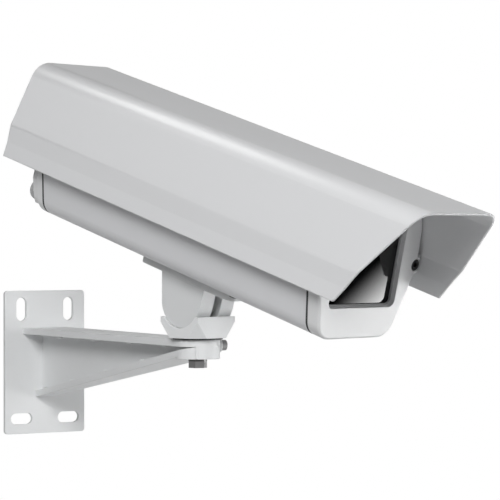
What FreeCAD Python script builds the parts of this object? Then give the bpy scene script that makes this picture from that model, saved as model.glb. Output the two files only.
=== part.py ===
import FreeCAD, Part
import math
import os

import Sketcher
from FreeCAD import Placement, Rotation, Vector

# Security camera housing on its wall bracket, in millimetres.
# The origin is on the wall, in the middle of the wall plate's back face.
# +X points out from the wall along the arm, +Z is up, and -Y is the side that the photograph shows.
# Everything above the tilt axis is drawn level in the housing's own frame, whose origin is where
# the pan axis and the tilt axis cross, and is then panned and tilted as the photograph shows it.

SIZES = [
    # wall plate
    ("plate_w", 78.0), ("plate_h", 128.0), ("plate_t", 3.5), ("plate_corner", 3.0),
    ("slot_w", 10.0), ("slot_len", 21.0), ("slot_pitch", 46.0),
    ("slot_top_z", 47.5), ("slot_low_z", -50.5),
    # arm: a top flange, a thin web and a rib that rises to the boss
    ("arm_len", 290.0), ("flange_t", 5.5), ("flange_w", 42.8), ("web_t", 5.0),
    ("rib_w", 18.0), ("rib_t", 5.6), ("rib_low_z", -31.5), ("boss_r", 17.6), ("boss_h", 15.2),
    ("flank_step", 0.2), ("web_flare_x", 41.0), ("web_flare_w", 21.0), ("web_flare_up", 0.5),
    # swivel head
    ("tilt_z", 62.0), ("pan_deg", 16.2), ("tilt_deg", 17.4),
    ("cup_w", 41.4), ("cup_below", 30.0), ("cup_top", 13.1), ("cup_facet_flat", 44.4),
    ("cup_facet_deg", 29.0), ("washer_t", 1.2), ("washer_r", 19.7),
    ("bolt_d", 8.0), ("bolt_play", 0.6), ("bolt_head_af", 13.0), ("bolt_head_h", 5.3),
    ("spring_washer_r", 7.4), ("spring_washer_t", 2.0), ("bolt_tip", 7.0),
    ("lock_d", 5.0), ("lock_head_d", 8.5), ("lock_head_h", 5.0), ("lock_pad_d", 11.0),
    ("lock_pad_h", 2.0), ("lock_drop", 5.2), ("lock_gap", 1.0),
    # knuckle
    ("knuckle_r", 21.7), ("knuckle_w", 36.8), ("knuckle_top", 15.4), ("knuckle_flare_deg", 17.0),
    ("knuckle_roof", 3.4), ("nut_r", 9.7), ("nut_len", 25.0), ("nut_top", 3.0), ("turn_play", 0.3),
    # saddle plate between the knuckle and the body
    ("saddle_back", -55.0), ("saddle_front", 50.0), ("saddle_w", 38.0), ("saddle_t", 5.0),
    ("saddle_neck_w", 29.0), ("saddle_fillet", 2.5), ("saddle_corner", 8.0),
    ("saddle_screw_x", 40.0), ("saddle_screw_y", 8.5), ("knuckle_screw_x", 15.5),
    ("knuckle_screw_y", 9.0), ("saddle_screw_len", 10.0), ("knuckle_screw_len", 16.0),
    # body: an extruded tube with a screw rail along each side
    ("body_back", -153.0), ("body_front", 150.0), ("body_bottom", 23.5), ("body_top", 127.0),
    ("body_w", 106.2), ("body_wide_z", 80.5), ("body_low_in", 14.1), ("body_high_in", 5.1),
    ("body_low_r", 16.0), ("body_high_r", 22.0), ("body_wall", 2.6),
    ("rail_out", 3.9), ("rail_h", 14.0), ("rail_strip", 6.6), ("rail_screw_in", 5.5), ("rail_r", 2.5),
    ("ledge_z", 44.0), ("ledge_h", 2.5), ("ledge_bite", 2.0),
    # front frame, window and seals
    ("gasket_t", 2.0), ("gasket_w", 4.0), ("bezel_t", 11.3), ("bezel_edge_r", 2.2),
    ("window_low_z", 47.8), ("window_high_z", 117.0), ("window_low_in", 8.7),
    ("window_high_in", 21.8), ("window_r", 5.0), ("window_lip", 4.3), ("window_lap", 4.5),
    ("window_seal_t", 1.0), ("window_seal_in", 1.5), ("glass_t", 4.0), ("clip_t", 1.5),
    ("clip_w", 12.0), ("clip_low_y", 22.0), ("clip_side_z", 97.0), ("clip_foot", 8.5),
    ("clip_nose", 3.5), ("clip_play", 0.4), ("clip_screw_up", 1.0),
    ("m5_d", 5.0), ("m5_head_d", 8.5), ("m5_head_h", 5.0), ("m5_recess_d", 9.4),
    ("m5_sink", 0.5), ("m5_hex_af", 4.0), ("m5_len", 22.0),
    # rear cap and cable glands
    ("cap_t", 6.0), ("cap_field", 9.5), ("cap_inset", 3.0), ("cap_screw_proud", 1.0),
    ("gland_in", 13.4), ("gland_z", 37.5), ("gland_thread_d", 15.6), ("gland_af", 20.0),
    ("gland_hex_h", 4.5), ("gland_nut_d", 18.6), ("gland_nut_h", 8.5), ("gland_bore", 8.0),
    ("gland_neck_d", 13.6), ("gland_nut_end", 2.0), ("gland_tail", 0.5), ("gland_plug_out", 1.0),
    ("gland_lock_af", 18.0), ("gland_lock_h", 4.0), ("fit_play", 0.1),
    # sunshield
    ("shield_back", -192.5), ("shield_front", 234.0), ("shield_cut_x", 186.0),
    ("shield_top", 142.0), ("shield_low_z", 61.6), ("shield_gap", 0.4), ("shield_top_in", 4.3),
    ("shield_hem", 1.5), ("shield_hem_h", 12.4),
    ("shield_r", 17.0), ("shield_t", 2.0), ("shield_bend_r", 8.0),
    ("stud_d", 5.0), ("stud_x", 90.0), ("stud_y", 20.0), ("spacer_d", 12.0), ("stud_nut_af", 8.0),
    ("stud_nut_h", 4.0), ("stud_len", 22.0),
    # inside: tray, carriage, heater and terminals
    ("tray_back", -140.0), ("tray_front", 146.0), ("tray_play", 1.0), ("tray_t", 2.0),
    ("tray_slot_back", -60.0), ("tray_slot_front", 80.0), ("tray_slot_w", 7.0),
    ("carriage_l", 50.0), ("carriage_w", 38.0), ("carriage_t", 8.0), ("carriage_gap", 0.3),
    ("camera_screw_d", 6.2), ("camera_knob_d", 16.0), ("camera_knob_h", 7.0),
    ("camera_neck_d", 5.2), ("camera_screw_up", 6.0),
    ("heater_x", 118.0), ("heater_l", 30.0), ("heater_w", 60.0),
    ("heater_base", 3.0), ("heater_h", 12.0), ("heater_fin_t", 2.0), ("heater_fins", 7.0),
    ("heater_screw_y", 20.0), ("m3_d", 3.0), ("m3_head_d", 5.6), ("m3_head_h", 2.0), ("m3_short", 0.2),
    ("board_x", -102.0), ("board_l", 56.0), ("board_w", 52.0), ("board_t", 1.6), ("board_edge", 1.0),
    ("standoff_d", 6.0), ("standoff_h", 6.0), ("block_l", 10.0), ("block_w", 30.0),
    ("block_h", 11.0), ("block_gap", 30.0),
    # drain plug under the body
    ("plug_x", 57.0), ("plug_y", -18.0), ("plug_d", 13.0), ("plug_h", 2.2), ("plug_stem_d", 6.0),
    ("plug_stem_up", 1.5),
]

doc = FreeCAD.newDocument("security_camera_housing")
dims = doc.addObject("Spreadsheet::Sheet", "dims")
for row, (alias, number) in enumerate(SIZES, start=1):
    dims.set(f"A{row}", alias)
    dims.set(f"B{row}", str(number))
    dims.setAlias(f"B{row}", alias)
doc.recompute()


def size(expression):
    """The number that an expression over the sheet's cells gives."""
    value = dims.evalExpression(str(expression))
    return float(getattr(value, "Value", value))


# Frames of the three bodies
WALL_FRAME = Placement()
SWIVEL_FRAME = Placement(
    Vector(size("dims.arm_len"), 0, size("dims.tilt_z")), Rotation(Vector(0, 0, 1), size("dims.pan_deg")))
HOUSING_FRAME = SWIVEL_FRAME.multiply(
    Placement(Vector(), Rotation(Vector(0, 1, 0), size("dims.tilt_deg"))))
parts = []
PAST = "1"  # how far a cut starts before the face that it opens


# Helpers for sketches and features
def new_body(label, frame):
    """An empty body that will be written as one piece."""
    body = doc.addObject("PartDesign::Body", label)
    body.Label = label
    body.Placement = frame
    parts.append(body)
    return body


def sketch_on(body, plane, offset="0"):
    """A sketch on one of the body's origin planes, moved along that plane's normal."""
    sketch = body.newObject("Sketcher::SketchObject", body.Name + "_sketch")
    origin_plane = [item for item in body.Origin.OriginFeatures if item.Role == plane][0]
    sketch.AttachmentSupport = [(origin_plane, "")]
    sketch.MapMode = "FlatFace"
    sketch.setExpression("AttachmentOffset.Base.z", offset)
    return sketch


def pin(sketch, geometry, point, across, up):
    """Hold one point of a sketch at a place given by two expressions."""
    for kind, axis, expression in (("DistanceX", -2, across), ("DistanceY", -1, up)):
        value = size(expression)
        if abs(value) < 1e-9:
            sketch.addConstraint(Sketcher.Constraint("PointOnObject", geometry, point, axis))
            continue
        index = sketch.addConstraint(Sketcher.Constraint(kind, -1, 1, geometry, point, value))
        sketch.setExpression(f"Constraints[{index}]", str(expression))


def polygon(sketch, corners):
    """A closed outline whose corners are pairs of expressions."""
    points = [Vector(size(across), size(up), 0) for across, up in corners]
    first = sketch.GeometryCount
    last = first + len(points) - 1
    for start, end in zip(points, points[1:] + points[:1]):
        sketch.addGeometry(Part.LineSegment(start, end))
    for step, (across, up) in enumerate(corners):
        line = first + step
        before = last if step == 0 else line - 1
        sketch.addConstraint(Sketcher.Constraint("Coincident", before, 2, line, 1))
        pin(sketch, line, 1, across, up)


def mirrored(half):
    """Both halves of an outline that is symmetric about the sketch's upright axis."""
    return list(half) + [(f"-({across})", up) for across, up in reversed(half)]


def circle(sketch, across, up, radius):
    """A circle with its centre and radius given by expressions."""
    index = sketch.addGeometry(Part.Circle(Vector(size(across), size(up), 0), Vector(0, 0, 1), size(radius)))
    pin(sketch, index, 3, across, up)
    bound = sketch.addConstraint(Sketcher.Constraint("Radius", index, size(radius)))
    sketch.setExpression(f"Constraints[{bound}]", str(radius))


def hexagon(sketch, across, up, flats):
    """A regular hexagon with two flats level, given by its width over flats."""
    for_corner = [(f"{across} + ({flats}) / sqrt(3) * cos({60 * step})",
                   f"{up} + ({flats}) / sqrt(3) * sin({60 * step})") for step in range(6)]
    polygon(sketch, for_corner)


def rectangle(sketch, left, right, low, high):
    """A rectangle between four expressions."""
    polygon(sketch, [(left, low), (right, low), (right, high), (left, high)])


def feature(body, kind, sketch, length=None, symmetric=False, backwards=False, taper=None):
    """A pad or pocket of a sketch; without a length it goes through everything."""
    made = body.newObject("PartDesign::" + kind, body.Name + "_" + kind.lower())
    made.Profile = sketch
    made.SideType = "Symmetric" if symmetric else "One side"
    made.Reversed = backwards
    if length is None:
        made.Type = "ThroughAll"
    else:
        made.setExpression("Length", str(length))
    if taper is not None:
        made.setExpression("TaperAngle", str(taper))
    doc.recompute()
    return made


def pad(body, sketch, length, **options):
    return feature(body, "Pad", sketch, length, **options)


def pocket(body, sketch, length=None, **options):
    return feature(body, "Pocket", sketch, length, **options)


def loft(body, sketches):
    """A straight-sided loft through sketches."""
    made = body.newObject("PartDesign::AdditiveLoft", body.Name + "_loft")
    made.Profile = sketches[0]
    made.Sections = sketches[1:]
    made.Ruled = True
    doc.recompute()
    return made


def edges_where(shape, test):
    """Names of the straight edges whose two ends pass a test."""
    names = []
    for index, edge in enumerate(shape.Edges, start=1):
        if len(edge.Vertexes) == 2 and edge.Curve.TypeId == "Part::GeomLine":
            if test(edge.Vertexes[0].Point, edge.Vertexes[1].Point):
                names.append(f"Edge{index}")
    return names


def fillet(body, radius, test):
    """Round the straight edges of the body's last feature that pass a test."""
    base = body.Tip
    made = body.newObject("PartDesign::Fillet", body.Name + "_fillet")
    made.Base = (base, edges_where(base.Shape, test))
    made.setExpression("Radius", str(radius))
    doc.recompute()
    return made


def near(first, second, tolerance=0.01):
    return abs(first - second) < tolerance


def along_x(start, end):
    return near(start.y, end.y) and near(start.z, end.z) and not near(start.x, end.x)


def along_y(start, end):
    return near(start.x, end.x) and near(start.z, end.z) and not near(start.y, end.y)


def along_z(start, end):
    return near(start.x, end.x) and near(start.y, end.y) and not near(start.z, end.z)


def disc_stack(label, frame, steps, bore=None, places=(("0", "0"),)):
    """Round pieces on +Z: steps are (radius, from, to), repeated at each place."""
    body = new_body(label, frame)
    for radius, low, high in steps:
        sketch = sketch_on(body, "XY_Plane", low)
        for across, up in places:
            circle(sketch, across, up, radius)
        pad(body, sketch, f"{high} - ({low})")
    if bore is not None:
        sketch = sketch_on(body, "XY_Plane", f"{steps[0][1]} - {PAST}")
        for across, up in places:
            circle(sketch, across, up, bore)
        pocket(body, sketch, backwards=True)
    return body


def x_stack(label, steps, places, bore=None):
    """Round or hexagonal pieces of the housing on +X: steps are (shape, size, from, to)."""
    body = new_body(label, HOUSING_FRAME)
    for shape, width, back, front in steps:
        sketch = sketch_on(body, "YZ_Plane", back)
        for across, up in places:
            if shape == "hex":
                hexagon(sketch, across, up, width)
            else:
                circle(sketch, across, up, f"({width}) / 2")
        pad(body, sketch, f"{front} - ({back})")
    if bore is not None:
        sketch = sketch_on(body, "YZ_Plane", f"{steps[0][2]} - {PAST}")
        for across, up in places:
            circle(sketch, across, up, f"({bore}) / 2")
        pocket(body, sketch, backwards=True)
    return body


def z_screws(label, head_top, head_d, head_h, shank_d, length, places):
    """Cylinder-head screws of the housing that point down, heads up."""
    return disc_stack(label, HOUSING_FRAME, [
        (f"{shank_d} / 2", f"{head_top} - {head_h} - {length}", f"{head_top} - {head_h}"),
        (f"{head_d} / 2", f"{head_top} - {head_h}", head_top)], places=places)


# Heights and lengths that several pieces share
BOSS_TOP = "(dims.tilt_z - dims.cup_below - dims.washer_t)"
BOSS_LOW = f"({BOSS_TOP} - dims.boss_h)"
FLANGE_LOW = f"({BOSS_TOP} - dims.flange_t)"
FLANK = "(dims.boss_r - dims.flank_step)"
RIB_RUN = "(dims.arm_len - dims.plate_t)"
RIB_TIP_Z = f"({FLANGE_LOW} - dims.rib_t / 2 + dims.flank_step)"
RIB_RISE = f"({RIB_TIP_Z} - dims.rib_low_z - dims.rib_t)"
RIB_SLOPE = f"({RIB_RISE} / {RIB_RUN})"


# Wall bracket: one casting
def make_wall_bracket():
    body = new_body("wall_bracket", WALL_FRAME)
    boss = sketch_on(body, "XY_Plane", BOSS_LOW)
    circle(boss, "dims.arm_len", "0", "dims.boss_r")
    pad(body, boss, "dims.boss_h - dims.flange_t")
    # the rib's sloping upper face runs on into the boss as a V-shaped recess
    groove = sketch_on(body, "XZ_Plane")
    tip_x = f"(dims.plate_t + ({FLANGE_LOW} - dims.rib_low_z - dims.rib_t) / {RIB_SLOPE})"
    back_x = f"(dims.arm_len - dims.boss_r - 2 * {PAST})"
    back_z = f"({FLANGE_LOW} - ({tip_x} - {back_x}) * {RIB_SLOPE})"
    polygon(groove, [(back_x, back_z), (tip_x, FLANGE_LOW), (back_x, FLANGE_LOW)])
    pocket(body, groove, "4 * dims.boss_r", symmetric=True)
    # rib, from the plate to the middle of the boss
    sections = []
    for x, half_w, low_z in (("dims.plate_t / 2", "dims.rib_w / 2", "dims.rib_low_z"),
                             ("dims.arm_len", FLANK, f"({RIB_TIP_Z} - dims.rib_t)")):
        section = sketch_on(body, "YZ_Plane", x)
        rectangle(section, f"-({half_w})", half_w, low_z, f"{low_z} + dims.rib_t")
        sections.append(section)
    loft(body, sections)
    plate = sketch_on(body, "YZ_Plane")
    rectangle(plate, "-dims.plate_w / 2", "dims.plate_w / 2", "-dims.plate_h / 2", "dims.plate_h / 2")
    pad(body, plate, "dims.plate_t")
    half_plate = size("dims.plate_w / 2")
    fillet(body, "dims.plate_corner", lambda a, b: along_x(a, b) and near(abs(a.y), half_plate))
    # web, and its thicker end that runs into the boss
    web = sketch_on(body, "XZ_Plane")
    polygon(web, [("dims.plate_t / 2", "dims.rib_low_z + dims.rib_t / 2"),
                  ("dims.arm_len", f"{RIB_TIP_Z} - dims.rib_t / 2"),
                  ("dims.arm_len", f"{FLANGE_LOW} + dims.flange_t / 2"),
                  ("dims.plate_t / 2", f"{FLANGE_LOW} + dims.flange_t / 2")])
    pad(body, web, "dims.web_t", symmetric=True)
    flare = sketch_on(body, "XY_Plane", f"{BOSS_LOW} + dims.web_flare_up")
    polygon(flare, [("dims.arm_len - dims.web_flare_x", "-dims.web_t / 2"),
                    (tip_x, "-dims.web_flare_w / 2"), (tip_x, "dims.web_flare_w / 2"),
                    ("dims.arm_len - dims.web_flare_x", "dims.web_t / 2")])
    pad(body, flare, "dims.boss_h - dims.flange_t")
    # top flange and the boss's upper disc
    flange = sketch_on(body, "XY_Plane", FLANGE_LOW)
    polygon(flange, [("dims.plate_t / 2", "-dims.flange_w / 2"), ("dims.arm_len", f"-{FLANK}"),
                     ("dims.arm_len", FLANK), ("dims.plate_t / 2", "dims.flange_w / 2")])
    pad(body, flange, "dims.flange_t")
    disc = sketch_on(body, "XY_Plane", FLANGE_LOW)
    circle(disc, "dims.arm_len", "0", "dims.boss_r")
    pad(body, disc, "dims.flange_t")
    # pad for the lock screw, on the side away from the photograph
    lock_z = f"({BOSS_TOP} - dims.lock_drop)"
    lock_pad = sketch_on(body, "XZ_Plane")
    circle(lock_pad, "dims.arm_len", lock_z, "dims.lock_pad_d / 2")
    pad(body, lock_pad, "dims.boss_r + dims.lock_pad_h", backwards=True)
    trim = sketch_on(body, "XY_Plane", BOSS_TOP)
    circle(trim, "dims.arm_len", "0", "dims.boss_r + dims.lock_pad_h + dims.lock_pad_d")
    pocket(body, trim, "dims.lock_pad_d", backwards=True)
    lock_hole = sketch_on(body, "XZ_Plane")
    circle(lock_hole, "dims.arm_len", lock_z, "dims.lock_d / 2 + dims.fit_play")
    pocket(body, lock_hole, "2 * dims.boss_r")
    bolt_hole = sketch_on(body, "XY_Plane", f"{BOSS_LOW} - {PAST}")
    circle(bolt_hole, "dims.arm_len", "0", "(dims.bolt_d + dims.bolt_play) / 2")
    pocket(body, bolt_hole, f"dims.boss_h + 2 * {PAST}", backwards=True)
    # slots: upright at the top, level at the bottom
    straight = "(dims.slot_len - dims.slot_w) / 2"
    for side in ("-1", "1"):
        y = f"{side} * dims.slot_pitch / 2"
        for z, run_y, run_z in (("dims.slot_top_z", "0", straight), ("dims.slot_low_z", straight, "0")):
            middle = sketch_on(body, "YZ_Plane")
            half_y = f"(dims.slot_w / 2 * {1 if run_y == '0' else 0} + {run_y})"
            half_z = f"(dims.slot_w / 2 * {1 if run_z == '0' else 0} + {run_z})"
            rectangle(middle, f"{y} - {half_y}", f"{y} + {half_y}", f"{z} - {half_z}", f"{z} + {half_z}")
            pocket(body, middle, backwards=True)
            for end in ("-1", "1"):
                round_end = sketch_on(body, "YZ_Plane")
                circle(round_end, f"{y} + {end} * {run_y}", f"{z} + {end} * {run_z}", "dims.slot_w / 2")
                pocket(body, round_end, backwards=True)
    return body


# Lock screw that holds the pan setting, on the side away from the photograph
def make_lock_screw():
    body = new_body("lock_screw", WALL_FRAME)
    z = f"({BOSS_TOP} - dims.lock_drop)"
    seat = "(dims.boss_r + dims.lock_pad_h)"
    tip = "(dims.bolt_d / 2 + dims.bolt_play + dims.lock_gap)"
    shank = sketch_on(body, "XZ_Plane", f"-{tip}")
    circle(shank, "dims.arm_len", z, "dims.lock_d / 2")
    pad(body, shank, f"{seat} - {tip}", backwards=True)
    head = sketch_on(body, "XZ_Plane", f"-{seat}")
    circle(head, "dims.arm_len", z, "dims.lock_head_d / 2")
    pad(body, head, "dims.lock_head_h", backwards=True)
    socket = sketch_on(body, "XZ_Plane", f"-({seat} + dims.lock_head_h)")
    hexagon(socket, "dims.arm_len", z, "dims.m5_hex_af")
    pocket(body, socket, "dims.lock_head_h / 2")


# Swivel: the cup, its washer and the bolt that clamps pan and tilt together
def make_swivel():
    cup = new_body("swivel_cup", SWIVEL_FRAME)
    low, high = "-dims.cup_below", "-dims.cup_top"
    facets = sketch_on(cup, "XY_Plane", low)
    half = "(dims.cup_facet_flat / sqrt(2))"
    polygon(facets, [(half, "0"), ("0", half), (f"-{half}", "0"), ("0", f"-{half}")])
    pad(cup, facets, f"{high} - ({low})", taper="dims.cup_facet_deg")
    sides = sketch_on(cup, "XY_Plane", low)
    rectangle(sides, "-2 * dims.cup_w", "2 * dims.cup_w", "-2 * dims.cup_w", "2 * dims.cup_w")
    rectangle(sides, "-dims.cup_w / 2", "dims.cup_w / 2", "-dims.cup_w / 2", "dims.cup_w / 2")
    pocket(cup, sides, f"{high} - ({low}) + {PAST}", backwards=True)
    trough = sketch_on(cup, "XZ_Plane")
    circle(trough, "0", "0", "dims.knuckle_r + dims.turn_play")
    pocket(cup, trough, "2 * dims.cup_w", symmetric=True)
    bore = sketch_on(cup, "XY_Plane", low)
    circle(bore, "0", "0", "dims.bolt_d / 2 + dims.fit_play")
    pocket(cup, bore, "dims.cup_below", backwards=True)

    washer_low = "(-dims.cup_below - dims.washer_t)"
    disc_stack("pan_washer", SWIVEL_FRAME, [("dims.washer_r", washer_low, "-dims.cup_below")],
               bore="dims.bolt_d / 2 + dims.fit_play")
    boss_low = f"({washer_low} - dims.boss_h)"
    spring_low = f"({boss_low} - dims.spring_washer_t)"
    disc_stack("spring_washer", SWIVEL_FRAME, [("dims.spring_washer_r", spring_low, boss_low)],
               bore="dims.bolt_d / 2 + dims.fit_play")

    bolt = new_body("clamp_bolt", SWIVEL_FRAME)
    head = sketch_on(bolt, "XY_Plane", f"{spring_low} - dims.bolt_head_h")
    hexagon(head, "0", "0", "dims.bolt_head_af")
    pad(bolt, head, "dims.bolt_head_h")
    shank = sketch_on(bolt, "XY_Plane", spring_low)
    circle(shank, "0", "0", "dims.bolt_d / 2")
    pad(bolt, shank, f"dims.bolt_tip - {spring_low}")

    nut = new_body("clamp_nut", SWIVEL_FRAME)
    barrel = sketch_on(nut, "XZ_Plane")
    circle(barrel, "0", "0", "dims.nut_r")
    pad(nut, barrel, "dims.nut_len", symmetric=True)
    flat = sketch_on(nut, "XY_Plane", "dims.nut_top")
    rectangle(flat, "-2 * dims.nut_r", "2 * dims.nut_r", "-dims.nut_len", "dims.nut_len")
    pocket(nut, flat, "dims.nut_r", backwards=True)
    thread = sketch_on(nut, "XY_Plane", "-2 * dims.nut_r")
    circle(thread, "0", "0", "dims.bolt_d / 2 + dims.fit_play / 2")
    pocket(nut, thread, backwards=True)


# Knuckle: a round-bottomed lug with a slot that the bolt swings in
def make_knuckle():
    body = new_body("knuckle", HOUSING_FRAME)
    flare = "dims.knuckle_flare_deg"
    side_x = f"(-dims.knuckle_r * cos({flare}))"
    side_z = f"(-dims.knuckle_r * sin({flare}))"
    back_x = f"({side_x} - (dims.knuckle_top - {side_z}) * tan({flare}))"
    barrel = sketch_on(body, "XZ_Plane")
    circle(barrel, "0", "0", "dims.knuckle_r")
    pad(body, barrel, "dims.knuckle_w", symmetric=True)
    block = sketch_on(body, "XZ_Plane")
    polygon(block, [(side_x, side_z), ("0", "-dims.knuckle_r / 2"), ("dims.knuckle_r", "0"),
                    ("dims.knuckle_r", "dims.knuckle_top"), (back_x, "dims.knuckle_top")])
    pad(body, block, "dims.knuckle_w", symmetric=True)
    seat = sketch_on(body, "XY_Plane", "dims.knuckle_top")
    rectangle(seat, "-2 * dims.knuckle_r", "2 * dims.knuckle_r", "-dims.knuckle_w", "dims.knuckle_w")
    pocket(body, seat, "dims.knuckle_r", backwards=True)
    slot = sketch_on(body, "YZ_Plane")
    half_slot = "(dims.bolt_d + dims.bolt_play) / 2"
    rectangle(slot, f"-{half_slot}", half_slot, "-2 * dims.knuckle_r", "dims.knuckle_top - dims.knuckle_roof")
    pocket(body, slot, "4 * dims.knuckle_r", symmetric=True)
    room = "(dims.nut_r + dims.turn_play)"
    for round_part in (True, False):
        chamber = sketch_on(body, "XZ_Plane")
        if round_part:
            circle(chamber, "0", "0", room)
        else:
            rectangle(chamber, f"-{room}", room, "0", f"dims.knuckle_top + {PAST}")
        pocket(body, chamber, "dims.nut_len + 2 * dims.turn_play", symmetric=True)
    holes = sketch_on(body, "XY_Plane", "dims.knuckle_top")
    for across, up in KNUCKLE_SCREWS:
        circle(holes, across, up, "dims.m5_d / 2 + dims.fit_play")
    pocket(body, holes, "dims.knuckle_screw_len")


def four(across, up):
    return [(f"{a}{across}", f"{b}{up}") for a in ("", "-") for b in ("", "-")]


KNUCKLE_SCREWS = four("dims.knuckle_screw_x", "dims.knuckle_screw_y")
SADDLE_SCREWS = four("dims.saddle_screw_x", "dims.saddle_screw_y")
STUDS = four("dims.stud_x", "dims.stud_y")


def make_saddle():
    body = new_body("saddle_plate", HOUSING_FRAME)
    height = "(dims.body_bottom - dims.knuckle_top)"
    base = sketch_on(body, "XY_Plane", "dims.knuckle_top")
    rectangle(base, "dims.saddle_back", "dims.saddle_front", "-dims.saddle_w / 2", "dims.saddle_w / 2")
    pad(body, base, "dims.saddle_t")
    half_w = size("dims.saddle_w / 2")
    fillet(body, "dims.saddle_corner", lambda a, b: along_z(a, b) and near(abs(a.y), half_w))
    neck = sketch_on(body, "XY_Plane", "dims.knuckle_top")
    rectangle(neck, "dims.saddle_back + dims.saddle_corner", "dims.saddle_front - dims.saddle_corner",
              "-dims.saddle_neck_w / 2", "dims.saddle_neck_w / 2")
    pad(body, neck, height)
    foot_z = size("dims.knuckle_top + dims.saddle_t")
    half_neck = size("dims.saddle_neck_w / 2")
    fillet(body, "dims.saddle_fillet",
           lambda a, b: along_x(a, b) and near(a.z, foot_z) and near(abs(a.y), half_neck))
    holes = sketch_on(body, "XY_Plane", f"dims.knuckle_top - {PAST}")
    for across, up in KNUCKLE_SCREWS + SADDLE_SCREWS:
        circle(holes, across, up, "dims.m5_d / 2 + dims.fit_play")
    pocket(body, holes, backwards=True)
    heads = sketch_on(body, "XY_Plane", f"dims.knuckle_top + {height}")
    for across, up in KNUCKLE_SCREWS:
        circle(heads, across, up, "dims.m5_recess_d / 2")
    pocket(body, heads, "dims.m5_head_h + dims.m5_sink")
    z_screws("knuckle_screws", "(dims.body_bottom - dims.m5_sink)", "dims.m5_head_d", "dims.m5_head_h",
             "dims.m5_d", "dims.knuckle_screw_len", KNUCKLE_SCREWS)
    z_screws("saddle_screws", "(dims.body_bottom + dims.body_wall + dims.m5_head_h)", "dims.m5_head_d",
             "dims.m5_head_h", "dims.m5_d", "dims.saddle_screw_len", SADDLE_SCREWS)


# Body section, shared by the tube, both gaskets, the front frame and the rear cap
RAIL_LOW = "(dims.body_wide_z - dims.rail_h / 2)"
RAIL_HIGH = "(dims.body_wide_z + dims.rail_h / 2)"
WIDE = "(dims.body_w / 2)"
LOW_HALF = f"({WIDE} - dims.body_low_in)"
HIGH_HALF = f"({WIDE} - dims.body_high_in)"
RAIL_HALF = f"({WIDE} + dims.rail_out)"
STRIP_HALF = f"({WIDE} - dims.rail_strip)"
SIDE_LEAN = f"(dims.body_low_in / ({RAIL_LOW} - dims.body_bottom))"
RAIL_SCREWS = [(f"{side}({RAIL_HALF} - dims.rail_screw_in)", "dims.body_wide_z") for side in ("-", "")]


def side_half(z):
    """Half the body's outer width at a height between its floor and its rails."""
    return f"({LOW_HALF} + ({z} - dims.body_bottom) * {SIDE_LEAN})"


def outer_section():
    """The outline with its side rails, with plain corners."""
    return mirrored([(LOW_HALF, "dims.body_bottom"), (WIDE, RAIL_LOW), (RAIL_HALF, RAIL_LOW),
                     (RAIL_HALF, RAIL_HIGH), (WIDE, RAIL_HIGH), (HIGH_HALF, "dims.body_top")])


def inner_section(inset):
    """The bore's outline: it leaves a wall, and a solid strip behind each rail."""
    strip = f"{STRIP_HALF} - ({inset} - dims.body_wall)"
    return mirrored([(f"{LOW_HALF} - {inset}", f"dims.body_bottom + {inset}"),
                     (f"{WIDE} - {inset}", RAIL_LOW), (strip, RAIL_LOW), (strip, RAIL_HIGH),
                     (f"{WIDE} - {inset}", RAIL_HIGH), (f"{HIGH_HALF} - {inset}", f"dims.body_top - {inset}")])


def round_section(body, inset="0", rails=True):
    """Round the long corners of the section that the last feature made."""
    for half, z, radius in ((LOW_HALF, "dims.body_bottom + ", "dims.body_low_r"),
                            (HIGH_HALF, "dims.body_top - ", "dims.body_high_r")):
        corner_y, corner_z = size(f"{half} - {inset}"), size(f"{z}{inset}")
        fillet(body, f"{radius} - {inset}",
               lambda a, b: along_x(a, b) and near(abs(a.y), corner_y) and near(a.z, corner_z))
    if rails:
        rail_y = size(RAIL_HALF)
        fillet(body, "dims.rail_r", lambda a, b: along_x(a, b) and near(abs(a.y), rail_y))


def section_piece(body, back, length, bore=None):
    """Give a body the housing's section, from a place on X and so long; bore is its wall's width."""
    outline = sketch_on(body, "YZ_Plane", back)
    polygon(outline, outer_section())
    pad(body, outline, length)
    if bore is not None:
        hollow = sketch_on(body, "YZ_Plane", f"{back} - {PAST}")
        polygon(hollow, inner_section(bore))
        pocket(body, hollow, backwards=True)
        round_section(body, bore, rails=False)
    round_section(body)
    return body


def screw_ports(body, from_x, diameter, length=None, backwards=True):
    ports = sketch_on(body, "YZ_Plane", from_x)
    for across, up in RAIL_SCREWS:
        circle(ports, across, up, f"({diameter}) / 2")
    pocket(body, ports, length, backwards=backwards)


TRAY_HALF = f"({side_half('dims.ledge_z')} - dims.body_wall - dims.tray_play)"


def make_body_tube():
    length = "(dims.body_front - dims.body_back)"
    body = section_piece(new_body("body_tube", HOUSING_FRAME), "dims.body_back", length, bore="dims.body_wall")
    # ledges and lips that the tray slides between
    for low in ("dims.ledge_z - dims.ledge_h", "dims.ledge_z + dims.tray_t + dims.turn_play"):
        grooves = sketch_on(body, "YZ_Plane", "dims.body_back")
        wall_y = f"({side_half(low)} - dims.body_wall / 2)"
        ledge_y = f"({TRAY_HALF} - dims.ledge_bite)"
        rectangle(grooves, ledge_y, wall_y, low, f"{low} + dims.ledge_h")
        rectangle(grooves, f"-{wall_y}", f"-{ledge_y}", low, f"{low} + dims.ledge_h")
        pad(body, grooves, length)
    screw_ports(body, f"dims.body_back - {PAST}", "dims.m5_d + 2 * dims.fit_play")
    floor = sketch_on(body, "XY_Plane", f"dims.body_bottom - {PAST}")
    for across, up in SADDLE_SCREWS:
        circle(floor, across, up, "dims.m5_d / 2 + dims.fit_play")
    circle(floor, "dims.plug_x", "dims.plug_y", "dims.plug_stem_d / 2 + dims.fit_play")
    pocket(body, floor, f"dims.body_wall + 2 * {PAST}", backwards=True)
    roof = sketch_on(body, "XY_Plane", f"dims.body_top + {PAST}")
    for across, up in STUDS:
        circle(roof, across, up, "dims.stud_d / 2 + dims.fit_play")
    pocket(body, roof, f"dims.body_wall + 2 * {PAST}")


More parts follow.
